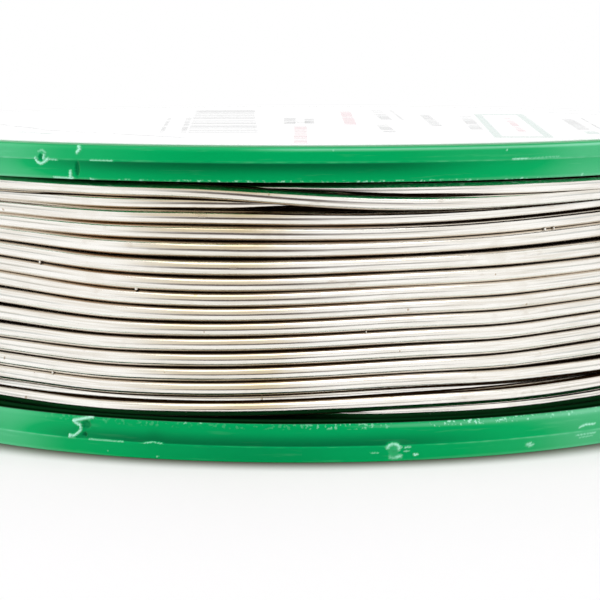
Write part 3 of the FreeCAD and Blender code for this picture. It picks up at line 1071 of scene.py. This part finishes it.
# The print is bare: bars, rows of dashes and a frame. Each field is (kind, ink, x, y, half length,
# half width, turn), and for the fields on the ring x is the distance round it and y its radius.
labelPrint = [
    ("bars", "black", -4.7, 2.8, 15.3, 1.95, 91.5),
    ("bars", "black", -4.9, 16.0, 2.2, 1.9, 91.5),
    ("dashes", "black", -7.0, -3.0, 9.5, 0.45, 91.5),
    ("dashes", "black", -8.2, -3.0, 9.5, 0.4, 91.5),
    ("dashes", "red", -0.3, -14.0, 9.6, 0.65, 90.0),
    ("dashes", "black", -0.4, 1.8, 4.2, 1.2, 90.0),
    ("dashes", "red", 2.7, 7.2, 10.6, 0.7, 90.0),
    ("dashes", "black", 5.2, 10.4, 7.4, 1.0, 91.0),
    ("dashes", "black", 4.8, -7.6, 4.6, 0.9, 91.0),
    ("dashes", "black", 7.6, 3.5, 8.5, 0.6, 90.0),
    ("dashes", "black", 10.1, -0.5, 9.0, 0.9, 88.5),
    ("frame", "green", 12.2, -3.4, 14.8, 1.6, 88.2),
    ("dashes", "red", 12.2, -3.4, 9.0, 0.5, 88.2),
    ("dashes", "black", 16.2, -2.0, 7.5, 1.0, 88.0),
    ("dashes", "green", 16.0, -12.6, 2.0, 1.0, 88.0),
    ("dashes", "black", -10.1, -13.2, 6.4, 0.5, -46.0),
    ("dashes", "black", -16.2, -4.6, 3.4, 0.5, -62.0),
    ("dashes", "green", -14.4, -12.2, 1.6, 0.6, -50.0),
]
ringPrint = [
    ("dashes", "red", -24.5, 19.2, 1.6, 0.6, 0.0),
    ("dashes", "black", 32.0, 21.6, 14.0, 0.45, 0.0),
]
ringRadius = 17.6
printKinds = {
    "bars": {"Cell": 0.33, "Rows": 100.0, "Row_Share": 1.0, "Fill": 0.55, "Border": 100.0},
    "dashes": {"Cell": 0.45, "Rows": 1.25, "Row_Share": 0.56, "Fill": 0.74, "Border": 100.0},
    "frame": {"Cell": 200.0, "Rows": 200.0, "Row_Share": 2.0, "Fill": 2.0, "Border": 0.5},
}


def makeLabel():
    # A disc: radius over the rows, with a rounded edge, and bearing over the columns
    radius = labelBox[1][0] + labelLook["reach"]
    low, high = labelBox[0][2], labelBox[1][2]
    edge = labelLook["rounding"]
    outline = [(0.001, low), (radius - edge / 3, low), (radius, low + edge), (radius, high - edge),
               (radius - edge, high)]
    outline += [(share * radius, high) for share in np.linspace(0.99, 0.0, 24)[:-1]] + [(0.001, high)]
    outline = np.array(outline)
    points = onSpool(outline[None, :, 0], np.arange(0, fullTurn, 1.0)[:, None], outline[None, :, 1])
    piece = gridObject("paperLabel", points, closedRows=True, closedColumns=True)
    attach(piece, root)
    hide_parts("face_label")
    return piece


def printGroup():
    # The ink of one field: inside its edges, and where random cells along it pass the fill
    group, given, result = newMaskGroup(
        "printedField", Vector=None, Centre=None, Half_Length=1.0, Half_Width=1.0, Turn=0.0,
        Cell=1.0, Rows=1.0, Row_Share=1.0, Fill=1.0, Border=1.0)
    moved = vectorMath("SUBTRACT", given["Vector"], given["Centre"])[0]
    turned = addNode(group, "ShaderNodeVectorRotate", {"rotation_type": "Z_AXIS"}, Vector=moved,
                     Angle=times(given["Turn"], -np.pi / 180)).outputs[0]
    along, aside, _ = split(turned)
    toEnd = minus(given["Half Length"], mathNode("ABSOLUTE", along))
    toSide = minus(given["Half Width"], mathNode("ABSOLUTE", aside))
    inside = ramp(mathNode("MINIMUM", toEnd, toSide), 0.0, 0.06)
    toBorder = mathNode("MINIMUM", times(toEnd, 0.36), toSide)
    bordered = mathNode("LESS_THAN", toBorder, given["Border"])
    cell = mathNode("FLOOR", mathNode("DIVIDE", along, given["Cell"]))
    rows = mathNode("DIVIDE", minus(aside, given["Half Width"]), given["Rows"])
    row = mathNode("FLOOR", rows)
    inRow = mathNode("LESS_THAN", minus(rows, row), given["Row Share"])
    number = addNode(group, "ShaderNodeCombineXYZ", X=cell, Y=row, Z=given["Half Length"]).outputs[0]
    random = addNode(group, "ShaderNodeTexWhiteNoise", Vector=number).outputs["Value"]
    filled = mathNode("LESS_THAN", random, given["Fill"])
    group.links.new(times(inside, bordered, inRow, filled), result["Mask"])
    return group


def paperMaterial():
    # Glossy, so that the print fades at a grazing angle
    look = labelLook
    material, tree = newMaterial("labelPaper")
    place = objectPlace(tree)
    fibre = noise(place, 1500.0, 4.0)
    rubs = groupMask(tree, fineScratches, Vector=place, Density=300.0, Stretch=0.1, Threshold=0.62)
    dust = groupMask(tree, smallSpecks, Vector=place, Scale=500.0, Size=0.08, Density=0.06)
    dirty = mathNode("MAXIMUM", times(rubs, look["rubs"]), times(dust, look["dust"]))
    colour = blendColour(dirty, blendColour(fibre, look["paper"], look["fibre"]), look["dirt"])

    # The ink is worn by the rubs. The ring's fields lie on bearing and radius.
    flat = vectorMath("MULTIPLY", place, (1 / millimetre, 1 / millimetre, 0.0))[0]
    across, along, _ = split(flat)
    bearing = mathNode("ARCTAN2", across, times(along, -1.0))
    ring = addNode(tree, "ShaderNodeCombineXYZ", X=times(bearing, ringRadius),
                   Y=vectorMath("LENGTH", flat)["Value"], Z=0.0).outputs[0]
    strength = ramp(rubs, 0.0, 1.0, look["ink"], 0.7 * look["ink"])
    field = printGroup()
    for vector, fields in ((flat, labelPrint), (ring, ringPrint)):
        for kind, ink, x, y, halfLength, halfWidth, turn in fields:
            mask = groupMask(tree, field, Vector=vector, Centre=(x, y, 0.0), Half_Length=halfLength,
                             Half_Width=halfWidth, Turn=turn, **printKinds[kind])
            colour = blendColour(times(mask, strength), colour, look[ink])
    return finishMaterial(material, Base_Color=colour, Roughness=0.3, Coat_Weight=1.0, Coat_Roughness=0.12,
                          Normal=relief(fibre, 0.1, 0.00002))


paperLabel = makeLabel()
paperLabel.data.materials.append(paperMaterial())
print("label made")


# Floor, light and background. A pair is where something begins and where it is full.

studio = {
    "floorRadius": 600.0,
    "floorColour": (0.965, 0.945, 0.965, 1.0),
    "contactShade": (0.14, 0.10, 0.09, 1.0),
    "contactReach": 2.6,
    "whiteFrom": (34.0, 70.0),
    "litFrom": (26.0, 34.0),
    "roomFrom": (38.0, 60.0),
    "stripFrom": (60.0, 95.0),
    "skyLevel": 0.58,
    "darkSide": (0.125, 0.102, 0.094, 1.0),
    "roomSpan": (-0.23, 0.16, 0.60),  # sines of bearings: the middle, and how far it is full and ends
    "stripSpan": (0.10, 0.35, 0.70),
    "stripShare": 0.75,
    "sideGrey": (0.30, 0.34, 0.34, 1.0),
}


def darkPlaces(sine, room, strip):
    # The dark room behind the camera, and a low dark strip that goes further to the right
    shares = []
    for (middle, full, end), share in ((studio["roomSpan"], room), (studio["stripSpan"], strip)):
        shares.append(times(ramp(mathNode("ABSOLUTE", minus(sine, middle)), full, end, 1.0, 0.0), share))
    return mathNode("MAXIMUM", shares[0], times(shares[1], studio["stripShare"]))


def addFloor():
    # Away from the spool and its shadow the floor is as white as the background
    look = studio
    span = np.linspace(-look["floorRadius"], look["floorRadius"], 9)
    across, along = np.meshgrid(span, span, indexing="ij")
    floor = gridObject("floor", np.stack([across, along, 0 * across], axis=-1))
    material, tree = newMaterial("paleTable")
    place = objectPlace(tree)
    x, y, _ = split(place)
    distance = times(vectorMath("LENGTH", place)["Value"], 1 / millimetre)
    ray = addNode(tree, "ShaderNodeLightPath").outputs
    seen, mirrored = ray["Is Camera Ray"], ray["Is Glossy Ray"]
    # Painted shadow: next to the rim the floor is darkened for the camera
    under = ramp(distance, flangeRadius - 0.3, flangeRadius + look["contactReach"], 1.0, 0.0)
    colour = blendColour(noise(place, 30.0, 2.0), look["floorColour"], (0.96, 0.96, 0.96, 1))
    colour = blendColour(times(under, seen), colour, look["contactShade"])
    surface = addNode(tree, "ShaderNodeBsdfPrincipled", Base_Color=colour, Roughness=0.6,
                      Specular_IOR_Level=0.2).outputs[0]
    white, dark = [addNode(tree, "ShaderNodeEmission", Color=light, Strength=1.0).outputs[0]
                   for light in ((1, 1, 1, 1), look["darkSide"])]

    # In reflections the table is lit, and it ends in front of the spool, where the dark room begins
    ahead = times(y, -1 / millimetre)
    sine = mathNode("DIVIDE", times(x, 1 / millimetre), distance)
    beyond = darkPlaces(sine, ramp(ahead, *look["roomFrom"]), ramp(ahead, *look["stripFrom"]))
    for share, light in ((times(ramp(distance, *look["whiteFrom"]), seen), white),
                         (times(ramp(distance, *look["litFrom"], 0.0, 0.95), mirrored), white),
                         (times(beyond, mirrored), dark)):
        surface = addNode(tree, "ShaderNodeMixShader", _0=share, _1=surface, _2=light).outputs[0]
    addNode(tree, "ShaderNodeOutputMaterial", Surface=surface)
    floor.data.materials.append(material)


def addWorld():
    # White for the camera and for reflections, apart from the dark room behind the camera
    # and something grey far to each side
    world = bpy.data.worlds.new("studio")
    bpy.context.scene.world = world
    world.use_nodes = True
    tree = world.node_tree
    tree.nodes.clear()
    across, along, rise = split(addNode(tree, "ShaderNodeTexCoord").outputs["Generated"])
    rise = mathNode("ABSOLUTE", rise)
    dark = darkPlaces(across, ramp(rise, 0.06, 0.20, 1.0, 0.0), ramp(rise, 0.04, 0.13, 1.0, 0.0))
    dark = times(dark, ramp(along, -0.4, -0.1, 1.0, 0.0))
    grey = times(ramp(mathNode("ABSOLUTE", across), 0.86, 0.98), ramp(rise, 0.12, 0.35, 0.5, 0.0))
    white = (1, 1, 1, 1)
    mirrored = blendColour(dark, blendColour(grey, white, studio["sideGrey"]), studio["darkSide"])
    ray = addNode(tree, "ShaderNodeLightPath").outputs
    seen = blendColour(ray["Is Glossy Ray"], white, mirrored)
    direct = mathNode("MAXIMUM", ray["Is Glossy Ray"], ray["Is Transmission Ray"])
    direct = mathNode("MAXIMUM", ray["Is Camera Ray"], direct)
    level = studio["skyLevel"]
    colour = blendColour(direct, (level, level, level, 1), seen)
    background = addNode(tree, "ShaderNodeBackground", Color=colour).outputs[0]
    addNode(tree, "ShaderNodeOutputWorld", Surface=background)


def addSoftbox(name, place, target, size, radiance, mirrored):
    # A rectangle that faces its target. Its power is its radiance times its area times pi.
    data = bpy.data.lights.new(name, "AREA")
    data.shape = "RECTANGLE"
    data.size = size[0] * millimetre
    data.size_y = size[1] * millimetre
    data.energy = radiance * np.pi * data.size * data.size_y
    lamp = newObject(name, data)
    lamp.visible_glossy = mirrored
    lamp.location = Vector(place) * millimetre
    lamp.rotation_euler = (Vector(target) - Vector(place)).to_track_quat("-Z", "Y").to_euler()


addFloor()
addWorld()
addSoftbox("topSoftbox", (0, -90, 420), (0, 0, 0), (460, 380), 1.7, True)
addSoftbox("leftSoftbox", (-300, -50, 70), (0, 0, 10), (180, 160), 2.6, False)
addSoftbox("rightSoftbox", (300, -50, 70), (0, 0, 10), (180, 160), 2.2, False)
bpy.context.scene.view_settings.view_transform = "Standard"
print("studio made")
